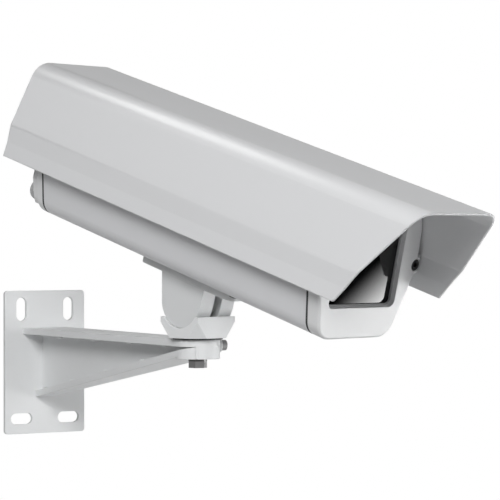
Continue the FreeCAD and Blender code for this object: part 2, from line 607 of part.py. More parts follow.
def make_gasket(label, back):
    body = section_piece(new_body(label, HOUSING_FRAME), back, "dims.gasket_t", bore="dims.gasket_w")
    screw_ports(body, f"{back} - {PAST}", "dims.m5_d + 2 * dims.fit_play")


# Front frame, window, its seal and its clips
FRONT = "(dims.body_front + dims.gasket_t + dims.bezel_t)"
FRAME_BACK = "(dims.body_front + dims.gasket_t)"


WINDOW_LOW = f"({side_half('dims.window_low_z')} - dims.window_low_in)"
WINDOW_HIGH = f"({WIDE} - dims.window_high_in)"


def window_outline(body, back, length, grow, cut):
    """The window's trapezium grown all round, as a plate or as a hole, with rounded corners."""
    sketch = sketch_on(body, "YZ_Plane", back)
    low_y, low_z = f"{WINDOW_LOW} + {grow}", f"dims.window_low_z - {grow}"
    high_y, high_z = f"{WINDOW_HIGH} + {grow}", f"dims.window_high_z + {grow}"
    polygon(sketch, mirrored([(low_y, low_z), (high_y, high_z)]))
    if cut:
        pocket(body, sketch, length, backwards=True)
    else:
        pad(body, sketch, length)
    corners = [(size(low_y), size(low_z)), (size(high_y), size(high_z))]
    fillet(body, f"dims.window_r + {grow}", lambda a, b: along_x(a, b) and any(
        near(abs(a.y), y) and near(a.z, z) for y, z in corners))


def clip_places():
    """Foot rectangles, nose rectangles and screw centres of the four window clips."""
    edge = "(dims.window_lap + dims.turn_play)"
    low = f"(dims.window_low_z - {edge})"
    slope = f"(({WINDOW_LOW} - {WINDOW_HIGH}) / (dims.window_high_z - dims.window_low_z))"
    side = f"({WINDOW_LOW} + {edge} - (dims.clip_side_z - dims.window_low_z) * {slope})"
    feet, noses, screws = [], [], []
    for sign in ("-", ""):
        middle = f"{sign}dims.clip_low_y"
        left, right = f"{middle} - dims.clip_w / 2", f"{middle} + dims.clip_w / 2"
        feet.append((left, right, f"{low} - dims.clip_foot", f"{low} + dims.clip_nose"))
        noses.append((left, right, f"{low} + dims.clip_play", f"{low} + dims.clip_nose"))
        screws.append((middle, f"{low} - dims.clip_foot / 2"))
        inner, step, outer = (f"{sign}({side} - dims.clip_nose)", f"{sign}({side} - 2 * dims.clip_play)",
                              f"{sign}({side} + dims.clip_foot)")
        low_z, high_z = "dims.clip_side_z - dims.clip_w / 2", "dims.clip_side_z + dims.clip_w / 2"
        feet.append((inner, outer, low_z, high_z) if sign == "" else (outer, inner, low_z, high_z))
        noses.append((inner, step, low_z, high_z) if sign == "" else (step, inner, low_z, high_z))
        screws.append((f"{sign}({side} + dims.clip_foot / 2)", "dims.clip_side_z"))
    return feet, noses, screws


def make_front():
    body = section_piece(new_body("front_bezel", HOUSING_FRAME), FRAME_BACK, "dims.bezel_t")
    front_x = size(FRONT)
    rim = [name for name, edge in ((f"Edge{n}", e) for n, e in enumerate(body.Tip.Shape.Edges, start=1))
           if near(edge.BoundBox.XMin, front_x) and near(edge.BoundBox.XMax, front_x)]
    base = body.Tip
    soft = body.newObject("PartDesign::Fillet", "front_bezel_rim")
    soft.Base = (base, rim)
    soft.setExpression("Radius", "dims.bezel_edge_r")
    doc.recompute()
    window_outline(body, f"{FRAME_BACK} - {PAST}", None, "0", cut=True)
    recess = "(dims.bezel_t - dims.window_lip)"
    window_outline(body, FRAME_BACK, recess, "(dims.window_lap + dims.turn_play)", cut=True)
    screw_ports(body, f"{FRAME_BACK} - {PAST}", "dims.m5_d + 2 * dims.fit_play")
    screw_ports(body, FRONT, "dims.m5_recess_d", "dims.m5_head_h + dims.m5_sink", backwards=False)
    feet, noses, screws = clip_places()
    holes = sketch_on(body, "YZ_Plane", FRAME_BACK)
    for across, up in screws:
        circle(holes, across, up, "dims.m3_d / 2 + dims.fit_play")
    pocket(body, holes, recess, backwards=True)

    seal = new_body("window_seal", HOUSING_FRAME)
    seal_back = f"({FRONT} - dims.window_lip - dims.window_seal_t)"
    window_outline(seal, seal_back, "dims.window_seal_t", "dims.window_lap", cut=False)
    window_outline(seal, f"{seal_back} - {PAST}", None, "(-dims.window_seal_in)", cut=True)
    glass = new_body("window_glass", HOUSING_FRAME)
    window_outline(glass, f"{seal_back} - dims.glass_t", "dims.glass_t", "dims.window_lap", cut=False)

    clips = new_body("window_clips", HOUSING_FRAME)
    plates = sketch_on(clips, "YZ_Plane", f"{FRAME_BACK} - dims.clip_t")
    for foot in feet:
        rectangle(plates, *foot)
    pad(clips, plates, "dims.clip_t")
    tips = sketch_on(clips, "YZ_Plane", f"{FRAME_BACK} - dims.clip_t / 2")
    for nose in noses:
        rectangle(tips, *nose)
    pad(clips, tips, f"{seal_back} - dims.glass_t - {FRAME_BACK} + dims.clip_t / 2")
    holes = sketch_on(clips, "YZ_Plane", f"{FRAME_BACK} - dims.clip_t - {PAST}")
    for across, up in screws:
        circle(holes, across, up, "dims.m3_d / 2 + dims.fit_play")
    pocket(clips, holes, backwards=True)
    clip_back = f"({FRAME_BACK} - dims.clip_t)"
    x_stack("clip_screws", [("round", "dims.m3_d", clip_back, f"{FRAME_BACK} + {recess} - dims.clip_screw_up"),
                            ("round", "dims.m3_head_d", f"{clip_back} - dims.m3_head_h", clip_back)], screws)


def socket_screws(label, seat, outwards):
    """The two screws in the rails, heads towards the outside of the housing."""
    body = new_body(label, HOUSING_FRAME)
    sign = "" if outwards else "-"
    head_from = seat if outwards else f"({seat} - dims.m5_head_h)"
    shank_from = f"({seat} - dims.m5_len)" if outwards else seat
    for start, length, diameter in ((shank_from, "dims.m5_len", "dims.m5_d"),
                                    (head_from, "dims.m5_head_h", "dims.m5_head_d")):
        sketch = sketch_on(body, "YZ_Plane", start)
        for across, up in RAIL_SCREWS:
            circle(sketch, across, up, f"{diameter} / 2")
        pad(body, sketch, length)
    sockets = sketch_on(body, "YZ_Plane", f"({seat} + {sign}dims.m5_head_h)")
    for across, up in RAIL_SCREWS:
        hexagon(sockets, across, up, "dims.m5_hex_af")
    pocket(body, sockets, "dims.m5_head_h / 2", backwards=not outwards)


# Rear cap and its three cable glands
CAP_FRONT = "(dims.body_back - dims.gasket_t)"
CAP_BACK = f"({CAP_FRONT} - dims.cap_t - dims.cap_field)"
GLANDS = [f"-({LOW_HALF} - dims.gland_in)", "0", f"({LOW_HALF} - dims.gland_in)"]


def make_rear():
    body = new_body("rear_cap", HOUSING_FRAME)
    field = sketch_on(body, "YZ_Plane", CAP_BACK)
    low_y, low_z = f"({LOW_HALF} - dims.cap_inset)", "(dims.body_bottom + dims.cap_inset)"
    high_y, high_z = f"({STRIP_HALF} - dims.cap_inset)", "(dims.body_top - dims.cap_inset)"
    bend_z = f"(dims.body_bottom + ({high_y} - {low_y}) / {SIDE_LEAN})"
    polygon(field, mirrored([(low_y, low_z), (high_y, bend_z), (high_y, high_z)]))
    pad(body, field, "dims.cap_field + dims.cap_t / 2")
    corners = [(size(low_y), size(low_z)), (size(high_y), size(high_z))]
    fillet(body, "dims.body_low_r - dims.cap_inset", lambda a, b: along_x(a, b) and any(
        near(abs(a.y), y) and near(a.z, z) for y, z in corners))
    section_piece(body, f"{CAP_FRONT} - dims.cap_t", "dims.cap_t")
    screw_ports(body, f"{CAP_BACK} - {PAST}", "dims.m5_d + 2 * dims.fit_play")
    screw_ports(body, f"{CAP_FRONT} - dims.cap_t", "dims.m5_recess_d", "dims.m5_head_h - dims.cap_screw_proud")
    holes = sketch_on(body, "YZ_Plane", f"{CAP_BACK} - {PAST}")
    for across in GLANDS:
        circle(holes, across, "dims.gland_z", "dims.gland_thread_d / 2 + dims.fit_play")
    pocket(body, holes, backwards=True)
    socket_screws("rear_cap_screws", f"({CAP_FRONT} - dims.cap_t + dims.m5_head_h - dims.cap_screw_proud)", outwards=False)

    nut_front = f"({CAP_BACK} - dims.gland_hex_h)"
    lock_front = f"({CAP_FRONT} + dims.gland_lock_h)"
    nut_back = f"({nut_front} - dims.gland_nut_h)"
    for number, across in enumerate(GLANDS, start=1):
        place = [(across, "dims.gland_z")]
        x_stack(f"gland_body_{number}", [
            ("round", "dims.gland_thread_d", CAP_BACK, f"{lock_front} + dims.gland_tail"),
            ("hex", "dims.gland_af", nut_front, CAP_BACK),
            ("round", "dims.gland_neck_d", f"{nut_back} + dims.gland_nut_end", nut_front)], place)
        nut = new_body(f"gland_nut_{number}", HOUSING_FRAME)
        sleeve = sketch_on(nut, "YZ_Plane", nut_back)
        circle(sleeve, across, "dims.gland_z", "dims.gland_nut_d / 2")
        pad(nut, sleeve, "dims.gland_nut_h")
        mouth = sketch_on(nut, "YZ_Plane", f"{nut_back} - {PAST}")
        circle(mouth, across, "dims.gland_z", "dims.gland_bore / 2")
        pocket(nut, mouth, backwards=True)
        inside = sketch_on(nut, "YZ_Plane", nut_front)
        circle(inside, across, "dims.gland_z", "dims.gland_neck_d / 2 + dims.fit_play")
        pocket(nut, inside, "dims.gland_nut_h - dims.gland_nut_end")
        x_stack(f"gland_locknut_{number}", [("hex", "dims.gland_lock_af", CAP_FRONT, lock_front)], place,
                bore="dims.gland_thread_d + 2 * dims.fit_play")
        x_stack(f"gland_plug_{number}", [
            ("round", "dims.gland_bore - 2 * dims.fit_play", f"{nut_back} - dims.gland_plug_out",
             f"{nut_back} + dims.gland_nut_end")], place)


# Sunshield: one bent sheet, cut back obliquely at the front
BAND_HALF = f"({RAIL_HALF} + dims.shield_gap + dims.shield_t)"
SHOULDER = f"({HIGH_HALF} - dims.shield_top_in)"
BAND_LOW = f"({RAIL_LOW} + dims.shield_t / 4)"
BAND_HIGH = f"({RAIL_HIGH} + dims.shield_t / 4)"


def shield_section(inset):
    """The sheet's outer outline, moved inwards by an inset: hem, upright band, flank and top."""
    top_z = f"(dims.shield_top - {inset})"
    half = f"({BAND_HALF} - {inset})"
    lean = f"(({BAND_HALF} - {SHOULDER}) / (dims.shield_top - {BAND_HIGH}))"
    turn = f"({inset} * (sqrt(1 + {lean}^2) - 1))"
    flank = f"({half} - {turn} - ({top_z} - {BAND_HIGH}) * {lean})"
    return [(f"{half} + dims.shield_hem", f"{BAND_LOW} - dims.shield_hem_h - {inset}"), (half, BAND_LOW),
            (half, BAND_HIGH), (flank, top_z)]


def bend_shield(body, inset):
    """Round the sheet's long bends, tighter on the inside by the sheet's thickness."""
    bends = shield_section(inset)
    for (across, up), radius in ((bends[3], "dims.shield_r"), (bends[2], "dims.shield_bend_r")):
        bend_y, bend_z = size(across), size(up)
        fillet(body, f"{radius} - {inset}",
               lambda a, b: along_x(a, b) and near(abs(a.y), bend_y) and near(a.z, bend_z))


def make_sunshield():
    body = new_body("sunshield", HOUSING_FRAME)
    outer = sketch_on(body, "YZ_Plane", "dims.shield_back")
    polygon(outer, mirrored(shield_section("0")))
    pad(body, outer, "dims.shield_front - dims.shield_back + dims.shield_r")
    inner = sketch_on(body, "YZ_Plane", f"dims.shield_back - {PAST}")
    polygon(inner, mirrored(shield_section("dims.shield_t")))
    pocket(body, inner, backwards=True)
    bend_shield(body, "dims.shield_t")
    bend_shield(body, "0")
    cut = sketch_on(body, "XZ_Plane")
    run = "((dims.shield_front - dims.shield_cut_x) / (dims.shield_top - dims.shield_low_z))"
    low, high = "(dims.shield_low_z - dims.shield_r)", "(dims.shield_top + dims.shield_r)"
    ahead = "dims.shield_front + 2 * dims.shield_r"
    polygon(cut, [(f"dims.shield_cut_x - dims.shield_r * {run}", low), (ahead, low), (ahead, high),
                  (f"dims.shield_front + dims.shield_r * {run}", high)])
    pocket(body, cut, f"4 * {BAND_HALF}", symmetric=True)
    hem = sketch_on(body, "XY_Plane", "dims.shield_low_z")
    rectangle(hem, "dims.shield_back - dims.shield_r", ahead, f"-2 * {BAND_HALF}", f"2 * {BAND_HALF}")
    pocket(body, hem, "dims.shield_r")

    under = "(dims.shield_top - dims.shield_t)"
    roof_in = "(dims.body_top - dims.body_wall)"
    disc_stack("shield_studs", HOUSING_FRAME, [("dims.stud_d / 2", f"{under} - dims.stud_len", under)],
               places=STUDS)
    disc_stack("shield_spacers", HOUSING_FRAME, [("dims.spacer_d / 2", "dims.body_top", under)],
               bore="dims.stud_d / 2 + dims.fit_play", places=STUDS)
    nuts = new_body("shield_nuts", HOUSING_FRAME)
    flats = sketch_on(nuts, "XY_Plane", f"{roof_in} - dims.stud_nut_h")
    for across, up in STUDS:
        hexagon(flats, across, up, "dims.stud_nut_af")
    pad(nuts, flats, "dims.stud_nut_h")
    bores = sketch_on(nuts, "XY_Plane", f"{roof_in} - dims.stud_nut_h - {PAST}")
    for across, up in STUDS:
        circle(bores, across, up, "dims.stud_d / 2 + dims.fit_play")
    pocket(nuts, bores, backwards=True)


# Inside the body
TRAY_TOP = "(dims.ledge_z + dims.tray_t)"
TRAY_MID = "((dims.tray_slot_back + dims.tray_slot_front) / 2)"
BOARD_LOW = f"({TRAY_TOP} + dims.standoff_h)"
BOARD_HOLES = [(f"dims.board_x {a} (dims.board_l / 2 - dims.standoff_d / 2 - dims.board_edge)",
                f"{b}(dims.board_w / 2 - dims.standoff_d / 2 - dims.board_edge)")
               for a in "+-" for b in ("", "-")]
HEATER_HOLES = [("dims.heater_x", "-dims.heater_screw_y"), ("dims.heater_x", "dims.heater_screw_y")]


def make_inside():
    tray = new_body("camera_tray", HOUSING_FRAME)
    sheet = sketch_on(tray, "XY_Plane", "dims.ledge_z")
    rectangle(sheet, "dims.tray_back", "dims.tray_front", f"-{TRAY_HALF}", TRAY_HALF)
    pad(tray, sheet, "dims.tray_t")
    slot = sketch_on(tray, "XY_Plane", f"dims.ledge_z - {PAST}")
    rectangle(slot, "dims.tray_slot_back", "dims.tray_slot_front", "-dims.tray_slot_w / 2",
              "dims.tray_slot_w / 2")
    for across, up in BOARD_HOLES + HEATER_HOLES:
        circle(slot, across, up, "dims.m3_d / 2 + dims.fit_play")
    pocket(tray, slot, backwards=True)

    carriage = new_body("camera_carriage", HOUSING_FRAME)
    carriage_low = f"({TRAY_TOP} + dims.carriage_gap)"
    block = sketch_on(carriage, "XY_Plane", carriage_low)
    rectangle(block, f"{TRAY_MID} - dims.carriage_l / 2", f"{TRAY_MID} + dims.carriage_l / 2",
              "-dims.carriage_w / 2", "dims.carriage_w / 2")
    pad(carriage, block, "dims.carriage_t")
    hole = sketch_on(carriage, "XY_Plane", f"{carriage_low} - {PAST}")
    circle(hole, TRAY_MID, "0", "dims.camera_screw_d / 2 + dims.fit_play")
    pocket(carriage, hole, backwards=True)
    knob_top = "(dims.ledge_z - dims.carriage_gap)"
    disc_stack("camera_screw", HOUSING_FRAME, [
        ("dims.camera_knob_d / 2", f"{knob_top} - dims.camera_knob_h", knob_top),
        ("dims.camera_neck_d / 2", knob_top, f"{carriage_low} + dims.carriage_t"),
        ("dims.camera_screw_d / 2", f"{carriage_low} + dims.carriage_t",
         f"{carriage_low} + dims.carriage_t + dims.camera_screw_up")],
        places=[(TRAY_MID, "0")])

    heater = new_body("heater", HOUSING_FRAME)
    back, front = "dims.heater_x - dims.heater_l / 2", "dims.heater_x + dims.heater_l / 2"
    base = sketch_on(heater, "XY_Plane", TRAY_TOP)
    rectangle(base, back, front, "-dims.heater_w / 2", "dims.heater_w / 2")
    pad(heater, base, "dims.heater_base")
    fins = sketch_on(heater, "XY_Plane", TRAY_TOP)
    count = int(size("dims.heater_fins"))
    for number in range(count):
        low = f"(-dims.heater_w / 2 + (dims.heater_w - dims.heater_fin_t) * {number} / {count - 1})"
        rectangle(fins, back, front, low, f"{low} + dims.heater_fin_t")
    pad(heater, fins, "dims.heater_base + dims.heater_h")
    holes = sketch_on(heater, "XY_Plane", f"{TRAY_TOP} - {PAST}")
    for across, up in HEATER_HOLES:
        circle(holes, across, up, "dims.m3_d / 2 + dims.fit_play")
    pocket(heater, holes, f"dims.heater_base + 2 * {PAST}", backwards=True)
    disc_stack("heater_screws", HOUSING_FRAME, [
        ("dims.m3_head_d / 2", "dims.ledge_z - dims.m3_head_h", "dims.ledge_z"),
        ("dims.m3_d / 2", "dims.ledge_z", f"{TRAY_TOP} + dims.heater_base - dims.m3_short")], places=HEATER_HOLES)

    board = new_body("terminal_board", HOUSING_FRAME)
    plate = sketch_on(board, "XY_Plane", BOARD_LOW)
    rectangle(plate, "dims.board_x - dims.board_l / 2", "dims.board_x + dims.board_l / 2",
              "-dims.board_w / 2", "dims.board_w / 2")
    pad(board, plate, "dims.board_t")
    holes = sketch_on(board, "XY_Plane", f"{BOARD_LOW} - {PAST}")
    for across, up in BOARD_HOLES:
        circle(holes, across, up, "dims.m3_d / 2 + dims.fit_play")
    pocket(board, holes, backwards=True)
    board_top = f"({BOARD_LOW} + dims.board_t)"
    disc_stack("board_standoffs", HOUSING_FRAME, [("dims.standoff_d / 2", TRAY_TOP, BOARD_LOW)],
               bore="dims.m3_d / 2 + dims.fit_play", places=BOARD_HOLES)
    disc_stack("board_screws", HOUSING_FRAME, [
        ("dims.m3_d / 2", "dims.ledge_z", board_top),
        ("dims.m3_head_d / 2", board_top, f"{board_top} + dims.m3_head_h")], places=BOARD_HOLES)
    blocks = new_body("terminal_blocks", HOUSING_FRAME)
    feet = sketch_on(blocks, "XY_Plane", board_top)
    for side in ("-", "+"):
        middle = f"(dims.board_x {side} dims.block_gap / 2)"
        rectangle(feet, f"{middle} - dims.block_l / 2", f"{middle} + dims.block_l / 2",
                  "-dims.block_w / 2", "dims.block_w / 2")
    pad(blocks, feet, "dims.block_h")


def make_drain_plug():
    disc_stack("drain_plug", HOUSING_FRAME, [
        ("dims.plug_d / 2", "dims.body_bottom - dims.plug_h", "dims.body_bottom"),
        ("dims.plug_stem_d / 2", "dims.body_bottom", "dims.body_bottom + dims.body_wall + dims.plug_stem_up")],
        places=[("dims.plug_x", "dims.plug_y")])


make_wall_bracket()
make_lock_screw()
make_swivel()
make_knuckle()
make_saddle()
make_body_tube()
make_gasket("front_gasket", "dims.body_front")
make_gasket("rear_gasket", CAP_FRONT)
make_front()
socket_screws("bezel_screws", f"({FRONT} - dims.m5_head_h - dims.m5_sink)", outwards=True)
make_rear()
make_sunshield()
make_inside()
make_drain_plug()
doc.recompute()

for item in doc.Objects:
    if any(word in item.State for word in ("Invalid", "Error")):
        raise RuntimeError(f"{item.Label} did not build: {item.State}")
for piece in parts:
    if piece.Shape.isNull() or not piece.Shape.isValid():
        raise RuntimeError(f"{piece.Label} has no valid shape")
    print(f"{piece.Label:18s} solids {len(piece.Shape.Solids)}  volume {piece.Shape.Volume / 1000:8.2f} cm3")

os.makedirs("parts", exist_ok=True)
for piece in parts:
    piece.Shape.exportStep(f"parts/{piece.Label}.step")
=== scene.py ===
# %% [markdown]
# A camera housing on its wall bracket
#
# The object is an outdoor housing for a security camera. A painted aluminium tube holds the camera,
# a bent metal sheet shades it, and a cast arm with a swivel head carries it on a wall. The solids are
# made already, to size, and come in as a fixed frame. This lesson dresses them: it gives every
# surface its paint, rubber or metal, adds the small pieces that a plain solid lacks, and sets up a
# studio. Numbers for pieces of the object are in millimetres and are turned to metres where a mesh is
# made. The camera, the lamps and the floor are placed in metres.

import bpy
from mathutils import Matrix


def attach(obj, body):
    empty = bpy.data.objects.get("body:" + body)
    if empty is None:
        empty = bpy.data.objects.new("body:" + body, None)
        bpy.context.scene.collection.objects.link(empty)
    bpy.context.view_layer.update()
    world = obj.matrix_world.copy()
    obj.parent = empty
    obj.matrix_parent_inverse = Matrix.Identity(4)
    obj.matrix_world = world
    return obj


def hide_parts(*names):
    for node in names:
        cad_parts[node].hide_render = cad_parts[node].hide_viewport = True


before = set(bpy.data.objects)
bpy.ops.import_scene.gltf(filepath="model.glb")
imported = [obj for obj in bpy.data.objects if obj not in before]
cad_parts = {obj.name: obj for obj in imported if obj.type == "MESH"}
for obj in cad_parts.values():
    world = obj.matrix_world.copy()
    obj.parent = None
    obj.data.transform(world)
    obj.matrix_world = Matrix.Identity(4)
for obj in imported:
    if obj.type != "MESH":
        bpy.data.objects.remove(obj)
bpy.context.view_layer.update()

# %% [markdown]
# The camera comes first, because the object is matched to the photograph through it. The photograph was
# taken with a long lens from a few metres away, level with the arm and 30 degrees off the front, so lines
# that run away from the viewer hardly come together. The camera's own axes are written out as a matrix:
# right, up and back. That is steadier than an aim point, because a tiny roll can be given too.

# %% The camera
import math

import bmesh
import bpy
from mathutils import Matrix, Vector

MM = 0.001
EYE = (1.8482, -0.852, 0.1077)
RIGHT, UP, BACK = (0.5, 0.866, -0.001), (-0.0027, 0.0027, 1.0), (0.866, -0.5, 0.0037)


def standing(spot, *axes):
    """A matrix that puts an object at a spot, with its own X, Y and Z along three axes."""
    return Matrix.Translation(spot) @ Matrix(axes).transposed().to_4x4()


lens = bpy.data.cameras.new("photographer")
lens.sensor_width, lens.lens = 36.0, 162.0
photographer = bpy.data.objects.new("photographer", lens)
bpy.context.scene.collection.objects.link(photographer)
photographer.matrix_world = standing(EYE, RIGHT, UP, BACK)
bpy.context.scene.camera = photographer
bpy.context.scene.view_settings.view_transform = "Standard"
print("camera at", tuple(round(v, 3) for v in photographer.location), "lens", lens.lens)

# %% [markdown]
# Materials are networks of nodes, and the same few moves come back all the time: make a node, set
# some inputs, join it to the next. A few short helpers do that. The node groups are effects that
# more than one finish uses, built once with named inputs and outputs and then placed in each
# material with its own values, in the way that a painter uses one spray gun for several paints.

# %% Helpers for node networks
def feed(tree, value, socket):
    """Give a socket its value, or link the output of another node to it."""
    if isinstance(value, bpy.types.NodeSocket):
        tree.links.new(value, socket)
    else:
        socket.default_value = value


def add(tree, kind, props=(), **inputs):
    """Add a node; an input goes by its name, or by i and its number where names repeat."""
    node = tree.nodes.new("ShaderNode" + kind)
    for key, value in dict(props).items():
        setattr(node, key, value)
    for key, value in inputs.items():
        numbered = key[0] == "i" and key[1:].isdigit()
        feed(tree, value, node.inputs[int(key[1:]) if numbered else key.replace("_", " ")])
    return node


def effect(name, inputs, outputs):
    """An empty node group with named sockets, and its input and output nodes."""
    group = bpy.data.node_groups.new(name, "ShaderNodeTree")
    for label, value in inputs:
        kind = "NodeSocketColor" if isinstance(value, tuple) else "NodeSocketFloat"
        group.interface.new_socket(name=label, in_out="INPUT", socket_type=kind).default_value = value
    for label in outputs:
        kind = "NodeSocketColor" if label == "Colour" else "NodeSocketFloat"
        group.interface.new_socket(name=label, in_out="OUTPUT", socket_type=kind)
    return group, group.nodes.new("NodeGroupInput").outputs, group.nodes.new("NodeGroupOutput").inputs


def math_node(tree, operation, a, b):
    return add(tree, "Math", {"operation": operation}, i0=a, i1=b).outputs[0]


def times(tree, a, b):
    return math_node(tree, "MULTIPLY", a, b)


def noise(tree, place, scale, detail, **values):
    return add(tree, "TexNoise", Vector=place, Scale=scale, Detail=detail, **values).outputs["Fac"]


def local(tree):
    """The object's own coordinates, which move with it."""
    return add(tree, "TexCoord").outputs["Object"]


def tinted(tree, share, colour, towards):
    """Mix two colours by a share that may change over the surface."""
    return add(tree, "Mix", {"data_type": "RGBA"}, i0=share, i6=colour, i7=towards).outputs[2]


def empty_material(name):
    """A material without nodes, and its node tree."""
    material = bpy.data.materials.new(name)
    material.use_nodes = True
    material.node_tree.nodes.clear()
    return material, material.node_tree


def show(tree, shader):
    """Join a shader to the material's output."""
    tree.links.new(shader.outputs[0], add(tree, "OutputMaterial").inputs[0])


# %% [markdown]
# Powder coat is paint that is sprayed on as a dry powder and melted in an oven. It flows out almost
# smooth and keeps a fine orange-peel skin, about a millimetre from bump to bump. Noise in the
# object's own coordinates makes it, because those move with the part. The same group adds a very
# slow drift of tone and gloss, since no large painted face is quite even.

# %% The skin of a powder coat
PLAIN = ("Colour", (0.7, 0.7, 0.7, 1.0))
SKIN = ["Colour", "Roughness", "Height"]
coat, put, out = effect("powder skin", [PLAIN, ("Grain", 700.0), ("Drift", 0.04), ("Gloss", 0.4)], SKIN)
place = local(coat)
peel = noise(coat, place, put["Grain"], 2.0, Roughness=0.45)
speck = noise(coat, place, times(coat, put["Grain"], 2.7), 1.0)
slow = noise(coat, place, 9.0, 3.0, Roughness=0.5)
drift = times(coat, put["Drift"], math_node(coat, "ADD", slow, times(coat, speck, 0.35)))
coat.links.new(tinted(coat, drift, put["Colour"], (0.30, 0.31, 0.34, 1.0)), out["Colour"])
wave = times(coat, math_node(coat, "SUBTRACT", slow, 0.5), 0.16)
coat.links.new(math_node(coat, "ADD", put["Gloss"], wave), out["Roughness"])
coat.links.new(peel, out["Height"])
print("group:", coat.name, "->", [socket.name for socket in out if socket.name])

# %% [markdown]
# Outdoors, dust settles on what faces the sky. The group reads the surface's normal, keeps the part
# that points up, breaks it with noise, and tints that with a warm grey. On a new housing there is
# hardly any, so the amounts stay small, but a face that looks up is never as clean as one that
# looks down.

# %% Settled dust
dust, put, out = effect("settled dust", [PLAIN, ("Amount", 0.1)], ["Colour"])
upward = add(dust, "SeparateXYZ", Vector=add(dust, "NewGeometry").outputs["Normal"]).outputs["Z"]
shelf = add(dust, "MapRange", i0=upward, i1=0.35, i2=1.0).outputs[0]
patch = noise(dust, local(dust), 38.0, 5.0, Roughness=0.62)
mask = times(dust, times(dust, shelf, patch), put["Amount"])
dust.links.new(tinted(dust, mask, put["Colour"], (0.42, 0.40, 0.36, 1.0)), out["Colour"])
print("group:", dust.name, "->", [socket.name for socket in out if socket.name])

# %% [markdown]
# A sand or die casting is never flat: the mould leaves a fine leathery skin that shows through the
# paint. Two sizes of noise make it, a broad one for the skin and a sharp one for single pits.

# %% The skin of a casting
cast, put, out = effect("cast skin", [PLAIN, ("Grain", 420.0), ("Pits", 0.3)], SKIN)
place = local(cast)
skin = noise(cast, place, put["Grain"], 3.0, Roughness=0.55)
cells = add(cast, "TexVoronoi", Vector=place, Scale=times(cast, put["Grain"], 0.55)).outputs["Distance"]
pits = add(cast, "MapRange", i0=cells, i1=0.0, i2=0.28, i3=1.0, i4=0.0).outputs[0]
tone = noise(cast, place, 16.0, 4.0, Roughness=0.6)
# The pits are drawn darker in colour as well as sunk in the bump.
darker_pits = times(cast, pits, times(cast, put["Pits"], 0.12))
shade = math_node(cast, "ADD", times(cast, tone, 0.08), darker_pits)
cast.links.new(tinted(cast, shade, put["Colour"], (0.34, 0.35, 0.37, 1.0)), out["Colour"])
cast.links.new(math_node(cast, "ADD", 0.36, times(cast, tone, 0.2)), out["Roughness"])
cast.links.new(math_node(cast, "SUBTRACT", skin, times(cast, pits, put["Pits"])), out["Height"])
print("group:", cast.name, "->", [socket.name for socket in out if socket.name])

# %% [markdown]
# Bare metal shows how it was made: bar is drawn, so its grain runs one way, and zinc plating dries
# in faint clouds. The noise is stretched hard along one axis for the grain and left round for the
# clouds.

# %% Drawn and plated metal
drawn, put, out = effect("drawn metal", [PLAIN, ("Lines", 1500.0), ("Clouds", 0.2)], SKIN)
place = local(drawn)
stretched = add(drawn, "Mapping", Vector=place, Scale=(1.0, 1.0, 0.06)).outputs[0]
lines = noise(drawn, stretched, put["Lines"], 2.0)
clouds = noise(drawn, place, 140.0, 3.0)
share = math_node(drawn, "ADD", times(drawn, clouds, put["Clouds"]), times(drawn, lines, 0.18))
drawn.links.new(tinted(drawn, share, put["Colour"], (0.22, 0.218, 0.21, 1.0)), out["Colour"])
drawn.links.new(math_node(drawn, "ADD", 0.2, times(drawn, share, 0.7)), out["Roughness"])
drawn.links.new(lines, out["Height"])
print("group:", drawn.name, "->", [socket.name for socket in out if socket.name])

# %% [markdown]
# Rubber seals and moulded plastic share a finely etched mould skin, matt in the hollows and a
# little brighter on the grain. One group serves both, with another grain and colour.

# %% Moulded skin
mould, put, out = effect("moulded skin", [PLAIN, ("Grain", 1400.0), ("Matt", 0.6)], SKIN)
place = local(mould)
cells = add(mould, "TexVoronoi", {"feature": "SMOOTH_F1"}, Vector=place, Scale=put["Grain"])
etched = cells.outputs["Distance"]
haze = times(mould, noise(mould, place, 45.0, 4.0), 0.16)
mould.links.new(tinted(mould, haze, put["Colour"], (0.22, 0.22, 0.23, 1.0)), out["Colour"])
hollow = times(mould, math_node(mould, "SUBTRACT", etched, 0.4), 0.25)
mould.links.new(math_node(mould, "ADD", put["Matt"], hollow), out["Roughness"])
mould.links.new(etched, out["Height"])
print("group:", mould.name, "->", [socket.name for socket in out if socket.name])

# %% [markdown]
# A finish is one material: a skin group, then dust, then the Principled shader. A Bevel node rounds
# the shading of each sharp corner by a fraction of a millimetre, the way paint pulls round an edge,
# so that corners catch a thin light. The bump height is in metres and tiny: a tenth of a millimetre
# of relief is already a rough skin.

# %% Finishes
def finish(name, skin, colour, relief, edge, settled=0.0, metal=0.0, lacquer=0.0, **values):
    """A material: a skin group, dust on top, and a rounded edge under the relief, both in mm."""
    material, tree = empty_material(name)
    group = add(tree, "Group", {"node_tree": skin}, Colour=(*colour, 1.0), **values)
    tone = group.outputs["Colour"]
    if settled:
        tone = add(tree, "Group", {"node_tree": dust}, Colour=tone, Amount=settled).outputs["Colour"]
    rounded = add(tree, "Bevel", {"samples": 4}, Radius=edge * MM).outputs[0]
    bump = add(tree, "Bump", Strength=1.0, Distance=relief * MM, Height=group.outputs["Height"],
               Normal=rounded)
    show(tree, add(tree, "BsdfPrincipled", Base_Color=tone, Roughness=group.outputs["Roughness"],
                   Metallic=metal, Specular_IOR_Level=0.3, Coat_Weight=lacquer, Coat_Roughness=0.4,
                   Normal=bump.outputs[0]))
    material.diffuse_color = (*colour, 1.0)
    return material


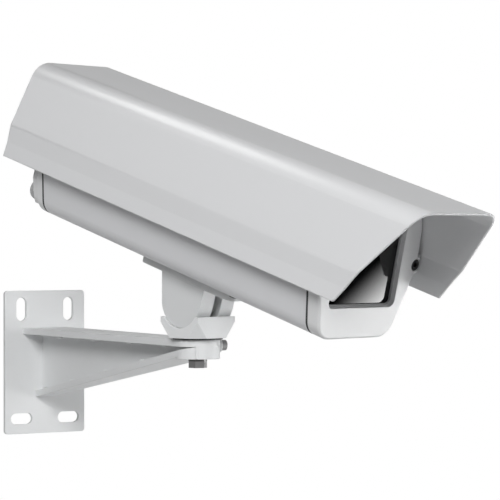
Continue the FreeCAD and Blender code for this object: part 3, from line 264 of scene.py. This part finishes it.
FINISHES = {
    "bracket_coat": finish(
        "bracket_coat", cast, (0.77, 0.78, 0.785), 0.05, 0.6, 0.12, lacquer=0.04, Grain=520.0, Pits=0.25),
    # The knuckle's coat is the bracket's cast paint made darker: painted shade for the knuckle, which sits
    # under the housing.
    "head_coat_painted_shade": finish(
        "head_coat_painted_shade", cast, (0.67, 0.68, 0.685), 0.05, 0.4, 0.1, lacquer=0.04, Grain=560.0, Pits=0.2),
    "tube_coat": finish(
        "tube_coat", coat, (0.70, 0.705, 0.72), 0.02, 0.3, 0.06, lacquer=0.05,
        Grain=900.0, Drift=0.05, Gloss=0.36),
    "frame_coat": finish(
        "frame_coat", coat, (0.74, 0.745, 0.75), 0.025, 0.6, 0.06, lacquer=0.05,
        Grain=800.0, Drift=0.05, Gloss=0.38),
    "sheet_coat": finish(
        "sheet_coat", coat, (0.72, 0.725, 0.735), 0.02, 1.6, 0.08, lacquer=0.06,
        Grain=760.0, Drift=0.04, Gloss=0.41),
    "plated_steel": finish(
        "plated_steel", drawn, (0.24, 0.242, 0.245), 0.012, 0.3, metal=1.0, Lines=2600.0, Clouds=0.25),
    "black_steel": finish(
        "black_steel", drawn, (0.05, 0.05, 0.052), 0.012, 0.3, metal=1.0, Lines=2000.0, Clouds=0.3),
    "bare_metal": finish(
        "bare_metal", drawn, (0.66, 0.665, 0.67), 0.015, 0.3, metal=1.0, Lines=1400.0, Clouds=0.3),
    "seal_rubber": finish(
        "seal_rubber", mould, (0.028, 0.028, 0.03), 0.02, 0.3, Grain=2200.0, Matt=0.62),
    "grey_silicone": finish(
        "grey_silicone", mould, (0.32, 0.325, 0.33), 0.015, 0.3, Grain=2400.0, Matt=0.5),
    "gland_plastic": finish(
        "gland_plastic", mould, (0.50, 0.505, 0.51), 0.02, 0.35, 0.05, Grain=1800.0, Matt=0.48),
    "terminal_plastic": finish(
        "terminal_plastic", mould, (0.10, 0.30, 0.16), 0.02, 0.3, Grain=1700.0, Matt=0.45),
}
print("finishes:", ", ".join(FINISHES))

# %% [markdown]
# A printed board is green lacquer over copper tracks. The tracks are drawn with brick cells in the
# board's own coordinates, so no drawing is needed, and they stand a hair above the lacquer.

# %% Circuit board
TRACK_RELIEF = 0.05
FINISHES["circuit_board"], tree = empty_material("circuit_board")
place = local(tree)
tracks = add(tree, "TexBrick", {"offset": 0.5}, Vector=place, Scale=60.0, Mortar_Size=0.06,
             Mortar_Smooth=0.2).outputs["Fac"]
weave = times(tree, noise(tree, place, 900.0, 2.0), 0.3)
lacquer = tinted(tree, weave, (0.02, 0.16, 0.06, 1.0), (0.01, 0.09, 0.04, 1.0))
raised = add(tree, "Bump", Distance=TRACK_RELIEF * MM, Height=tracks).outputs[0]
show(tree, add(tree, "BsdfPrincipled", Base_Color=tinted(tree, tracks, lacquer, (0.10, 0.36, 0.14, 1.0)),
               Roughness=0.35, Normal=raised))
print("board tracks:", tracks.node.name)

# %% [markdown]
# The window is 4 mm glass. Clean glass has no texture of its own: it shows what it reflects and what
# lies behind it. A dark body colour stands for the unlit inside of the housing, the index of 1.52 is
# that of window glass, and a trace of haze in the roughness is a wiped film.

# %% Window glass
GLASS_INDEX = 1.52
FINISHES["window_glass"], tree = empty_material("window_glass")
film = noise(tree, local(tree), 30.0, 4.0)
haze = add(tree, "MapRange", i0=film, i1=0.45, i2=0.8, i3=0.0, i4=0.03).outputs[0]
show(tree, add(tree, "BsdfPrincipled", Base_Color=(0.04, 0.043, 0.046, 1.0), Metallic=0.0,
               Roughness=haze, IOR=GLASS_INDEX, Transmission_Weight=1.0))
print("glass index", GLASS_INDEX)

# %% [markdown]
# Now the solids get their finishes. A list says which finish each one wears. The meshes themselves
# are not touched: only the material in the slot changes.

# %% Dress the solids
DRESS = {
    "bracket_coat": ["wall_bracket", "swivel_cup", "saddle_plate"],
    # The knuckle wears the darker copy of the cast paint as painted shade under the housing.
    "head_coat_painted_shade": ["knuckle"],
    "tube_coat": ["body_tube"],
    "frame_coat": ["front_bezel", "rear_cap"],
    "sheet_coat": ["sunshield"],
    "grey_silicone": ["window_seal"],
    "seal_rubber": ["front_gasket", "rear_gasket", "pan_washer", "drain_plug", "gland_plug_1",
                    "gland_plug_2", "gland_plug_3"],
    "window_glass": ["window_glass"],
    "gland_plastic": ["gland_body_1", "gland_body_2", "gland_body_3", "gland_locknut_1", "gland_locknut_2",
                      "gland_locknut_3", "gland_nut_1", "gland_nut_2", "gland_nut_3", "board_standoffs"],
    "bare_metal": ["camera_tray", "camera_carriage", "heater", "shield_spacers", "clamp_nut"],
    "black_steel": ["spring_washer", "bezel_screws", "rear_cap_screws"],
    "circuit_board": ["terminal_board"],
    "terminal_plastic": ["terminal_blocks"],
}
wears = {node: name for name, nodes in DRESS.items() for node in nodes}
for node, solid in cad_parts.items():
    chosen = FINISHES[wears.get(node, "plated_steel")]
    for index in range(len(solid.material_slots)):
        solid.material_slots[index].material = chosen
steel = [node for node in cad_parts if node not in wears]
print("dressed", len(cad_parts), "solids, plated steel on", ", ".join(steel))

# %% [markdown]
# A cut sheet is deburred before it is painted, and its rim shows against the pale background. A
# Bevel modifier rounds it in real geometry. The solid arrives with its faces split apart, and a Weld
# modifier joins them first. The angle limit keeps the rounding to the rim and off the bends. The
# castings have their fillets in the solids already.

# %% Rounded rim of the sheet
RIM_ROUND, TRUE_CORNER = 0.5, math.radians(34)
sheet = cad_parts["sunshield"]
sheet.modifiers.new("joined", "WELD").merge_threshold = 0.00001
rim = sheet.modifiers.new("rounded", "BEVEL")
rim.width, rim.segments = RIM_ROUND * MM, 2
rim.limit_method, rim.angle_limit = "ANGLE", TRUE_CORNER
rim.use_clamp_overlap, rim.harden_normals = True, True
solid = sheet.evaluated_get(bpy.context.evaluated_depsgraph_get())
print("sheet faces:", len(sheet.data.polygons), "rounded:", len(solid.data.polygons))

# %% [markdown]
# The cable glands need more than a plain ring. A gland nut is a moulded cap: grip ribs round its
# skirt and a dome down to the cable's mouth. It is turned on a lathe in mesh code: a profile of
# points goes round an axis, and the ribs stand because the radius is drawn in between them.

# %% A lathe for turned pieces
PIVOT, PAN, TILT = (0.29, 0.0, 0.062), math.radians(16.2), math.radians(17.4)
HOUSING = Matrix.Translation(PIVOT) @ Matrix.Rotation(PAN, 4, "Z") @ Matrix.Rotation(TILT, 4, "Y")
RIB_DEPTH, HARD_EDGE = 0.45, math.radians(38)


def turned(name, profile, place, body, material, segments=96, ribs=0, ribbed=()):
    """Turn a closed profile of (along, radius) points in mm round the local X axis of a place."""
    bm = bmesh.new()
    rings = []
    for index, (along, radius) in enumerate(profile):
        ring = []
        for step in range(segments):
            angle = 2 * math.pi * step / segments
            reach = radius
            if index in ribbed:
                reach += RIB_DEPTH * (max(0.0, math.cos(ribs * angle)) ** 0.6 - 1)
            point = Vector((along, reach * math.cos(angle), reach * math.sin(angle)))
            ring.append(bm.verts.new(point * MM))
        rings.append(ring)
    for ring, after in zip(rings, rings[1:] + rings[:1]):
        for step in range(segments):
            onward = (step + 1) % segments
            bm.faces.new((ring[step], ring[onward], after[onward], after[step]))
    bmesh.ops.recalc_face_normals(bm, faces=bm.faces)
    for face in bm.faces:
        face.smooth = True
    for edge in bm.edges:
        edge.smooth = edge.calc_face_angle(0.0) < HARD_EDGE
    bm.transform(place)
    mesh = bpy.data.meshes.new(name)
    bm.to_mesh(mesh)
    bm.free()
    piece = bpy.data.objects.new(name, mesh)
    bpy.context.scene.collection.objects.link(piece)
    mesh.materials.append(FINISHES[material])
    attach(piece, body)
    return piece


# %% [markdown]
# The skirt has 20 ribs that fade out before the dome. The dome is five short steps of a quarter
# round, enough to look smooth at this size, and the bore stays open for the blanking plug behind.

# %% Gland nuts
NUT_FRONT, NUT_SKIRT, NUT_DOME, NUT_BACK = -175.0, -179.6, -180.2, -183.5
NUT_R, MOUTH_R, THREAD_R, THREAD_END = 9.3, 4.1, 6.95, -181.5
DOME_LONG, LIP_R, DOME_ROUND = 3.3, 4.6, 4.4
GLAND_PITCH, GLAND_UP = 25.6, 37.5
skirt = [(NUT_FRONT, NUT_R), (NUT_SKIRT, NUT_R), (NUT_DOME, NUT_R - 0.3)]
turns = [math.radians(degrees) for degrees in (20, 40, 60, 78, 90)]
dome = [(NUT_DOME - DOME_LONG * math.sin(turn), LIP_R + DOME_ROUND * math.cos(turn)) for turn in turns]
bore = [(NUT_BACK, MOUTH_R), (THREAD_END, MOUTH_R), (THREAD_END, THREAD_R), (NUT_FRONT, THREAD_R)]
for number in (1, 2, 3):
    place = HOUSING @ Matrix.Translation(Vector((0, (number - 2) * GLAND_PITCH, GLAND_UP)) * MM)
    cap = turned(f"gland_cap_{number}", skirt + dome + bore, place, "housing",
                 "gland_plastic", segments=120, ribs=20, ribbed=(0, 1))
    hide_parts(f"gland_nut_{number}")
print("gland caps:", len(cap.data.polygons), "faces each")

# %% [markdown]
# When a casting comes out of its mould, round pins push it free and leave small pads. Here they sit
# in a row under the arm's top flange and along the rib. Each one is a flat little dome, sunk a hair
# into the face that carries it.

# %% Ejector pads on the arm
FLANGE_LOW, FLANGE_HALF, FLANGE_TAPER = 25.3, 21.4, -0.0131
RIB_TOP, RIB_RISE, RIB_HALF, RIB_TAPER = -25.9, 0.1696, 9.0, 0.0297
PLATE, FROM_EDGE, SUNK = 3.5, 3.2, 0.2
PAD = [(0.0, 2.5), (0.8, 2.45), (1.3, 2.1), (1.6, 1.4), (1.7, 0.02), (0.0, 0.02)]
DOWN, UPWARD = math.pi / 2, -math.pi / 2
pads = []
for number, along in enumerate((72.0, 136.0, 201.0, 262.0), start=1):
    half = FLANGE_HALF + FLANGE_TAPER * along
    pads.append(("flange_pad", number, along, half, FLANGE_LOW + SUNK, DOWN))
for number, along in enumerate((20.0, 77.5, 148.5, 218.0), start=1):
    half = RIB_HALF + RIB_TAPER * along
    pads.append(("rib_pad", number, along, half, RIB_TOP + RIB_RISE * (along - PLATE) - SUNK, UPWARD))
for name, number, along, half, height, turn in pads:
    for word, side in (("near", -1), ("far", 1)):
        spot = Matrix.Translation(Vector((along, side * (half - FROM_EDGE), height)) * MM)
        turned(f"{name}_{number}_{word}", PAD, spot @ Matrix.Rotation(turn, 4, "Y"), "bracket",
               "bracket_coat", segments=32)
print("ejector pads:", 2 * len(pads))

# %% [markdown]
# The studio: a plain pale floor well below the arm, because the object hangs on a wall. It is white
# at its rim and nearly so near the object, to the eye and to gloss, and matt to everything else, so
# that it keeps a shadow and sends little light back up.

# %% Floor
FLOOR, FLOOR_HALF, FLOOR_GLARE, WHITE = -1.3, 9, 0.55, (1.0, 1.0, 1.0, 1.0)


def sheet_of(name, half_x, half_y, height, material):
    """A flat stage piece: four corners, one face and one material."""
    corners = [(-half_x, -half_y), (half_x, -half_y), (half_x, half_y), (-half_x, half_y)]
    mesh = bpy.data.meshes.new(name)
    mesh.from_pydata([(x, y, height) for x, y in corners], [], [(0, 1, 2, 3)])
    mesh.materials.append(material)
    piece = bpy.data.objects.new(name, mesh)
    bpy.context.scene.collection.objects.link(piece)
    return piece


def rays(tree, *kinds):
    """1 for the kinds of ray named, 0 for others."""
    seen = add(tree, "LightPath").outputs
    share = seen[f"Is {kinds[0]} Ray"]
    for kind in kinds[1:]:
        share = math_node(tree, "MAXIMUM", share, seen[f"Is {kind} Ray"])
    return share


paper, tree = empty_material("studio_floor")
reach = add(tree, "VectorMath", {"operation": "LENGTH"}, i0=local(tree)).outputs["Value"]
rim = add(tree, "MapRange", i0=reach, i1=2.2, i2=3.6).outputs[0]
fibre = times(tree, noise(tree, local(tree), 60.0, 4.0), 0.02)
shade = tinted(tree, fibre, (0.92, 0.92, 0.92, 1.0), (0.8, 0.8, 0.8, 1.0))
matt = add(tree, "BsdfPrincipled", Base_Color=shade, Roughness=0.9, Specular_IOR_Level=0.0)
white = add(tree, "Emission", Color=WHITE, Strength=1.0)
pale = math_node(tree, "MAXIMUM", rim, FLOOR_GLARE)
glare = times(tree, pale, rays(tree, "Camera", "Glossy", "Transmission"))
show(tree, add(tree, "MixShader", i0=glare, i1=matt.outputs[0], i2=white.outputs[0]))
floor = sheet_of("floor", FLOOR_HALF, FLOOR_HALF, FLOOR, paper)
print("floor at", FLOOR)

# %% [markdown]
# Four soft lamps light the object. The key hangs in front at the near side and lights the long
# faces; the sunshield keeps it off the inside of the visor. A level lamp in front, a little to the
# far side, lights the front frame. One overhead, seen by gloss alone, draws the bright line along
# the sheet's upper bend. One behind keeps the far side readable in other views, and gloss doesn't
# see it. The world is white to the eye and through glass, and dim to everything else. To gloss it
# brightens from one side to the other, so the facets of bolt heads differ.

# %% Light
CENTRE, BRIGHT_SIDE, AMBIENT = Vector((0.3, 0.0, 0.1)), (-0.3, -0.9, 0.3), 0.09
world = bpy.data.worlds.new("studio")
bpy.context.scene.world = world
world.use_nodes = True
tree = world.node_tree
tree.nodes.clear()
towards = add(tree, "NewGeometry").outputs["Incoming"]
facing = add(tree, "VectorMath", {"operation": "DOT_PRODUCT"}, i0=towards, i1=BRIGHT_SIDE).outputs["Value"]
shine = add(tree, "MapRange", i0=facing, i1=-0.4, i2=0.95, i3=0.4, i4=0.9).outputs[0]
looked_at = add(tree, "MapRange", i0=rays(tree, "Camera", "Transmission"), i3=AMBIENT, i4=1.0).outputs[0]
level = math_node(tree, "MAXIMUM", looked_at, times(tree, rays(tree, "Glossy"), shine))
sky = add(tree, "Background", Color=WHITE, Strength=level).outputs[0]
tree.links.new(sky, add(tree, "OutputWorld").inputs[0])


def lamp(name, away, direction, size, watts):
    """A square soft lamp at a distance and direction from the centre, turned towards it."""
    spot = CENTRE + away * Vector(direction)
    light = bpy.data.lights.new(name, "AREA")
    light.shape, light.size, light.energy = "SQUARE", size, watts
    lamp_object = bpy.data.objects.new(name, light)
    bpy.context.scene.collection.objects.link(lamp_object)
    lamp_object.location = spot
    lamp_object.rotation_mode = "QUATERNION"
    lamp_object.rotation_quaternion = (CENTRE - spot).to_track_quat("-Z", "Y")
    lamp_object.visible_camera = False
    return lamp_object


lamp("near_key", 2.6, (0.64, -0.61, 0.47), 1.1, 54.0)
front = lamp("far_front_lamp", 2.0, (0.81, 0.58, 0.05), 1.0, 11.0)
strip = lamp("top_strip", 2.4, (-0.35, -0.40, 0.85), 1.35, 48.0)
behind = lamp("back_fill", 2.4, (-0.62, 0.78, -0.04), 1.5, 32.0)
front.visible_glossy = behind.visible_glossy = False
strip.visible_diffuse = False

# %% [markdown]
# The window needs something to reflect. In the photograph it runs slantwise from black under the
# sheet to white at the lower corner, which is the soft edge of a studio reflector next to a black
# flag. A small card does the same: it stands where the glass looks to from the camera's place, glows
# past a slanting line only, and is hidden from everything except gloss, so it adds no light.

# %% Reflector for the window
SPOT, WINDOW = Vector((0.59, 0.50, -0.107)), Vector((0.45, 0.06, 0.08))
LOOK, ACROSS = Vector((-0.294, -0.874, 0.386)), Vector((-0.494, 0.402, -0.770))
SLANT, DARK_END, BRIGHT_START, GLOW = (0.88, 0.47, 0.0), -0.016, 0.037, 16.0
glow, tree = empty_material("reflector_glow")
edge = add(tree, "VectorMath", {"operation": "DOT_PRODUCT"}, i0=local(tree), i1=SLANT).outputs["Value"]
ramp = add(tree, "MapRange", {"interpolation_type": "SMOOTHSTEP"}, i0=edge, i1=DARK_END,
           i2=BRIGHT_START).outputs[0]
show(tree, add(tree, "Emission", Color=WHITE, Strength=times(tree, ramp, GLOW)))
card = sheet_of("reflector", 0.16, 0.2, 0, glow)
across = (ACROSS - LOOK * ACROSS.dot(LOOK)).normalized()
card.matrix_world = standing(SPOT, across, across.cross(LOOK).normalized(), LOOK)
card.visible_camera = card.visible_diffuse = card.visible_transmission = card.visible_shadow = False
print("reflector", round((SPOT - WINDOW).length, 2), "m from the window")

# %% [markdown]
# Last, the view layer is brought up to date.

# %% The end
bpy.context.view_layer.update()
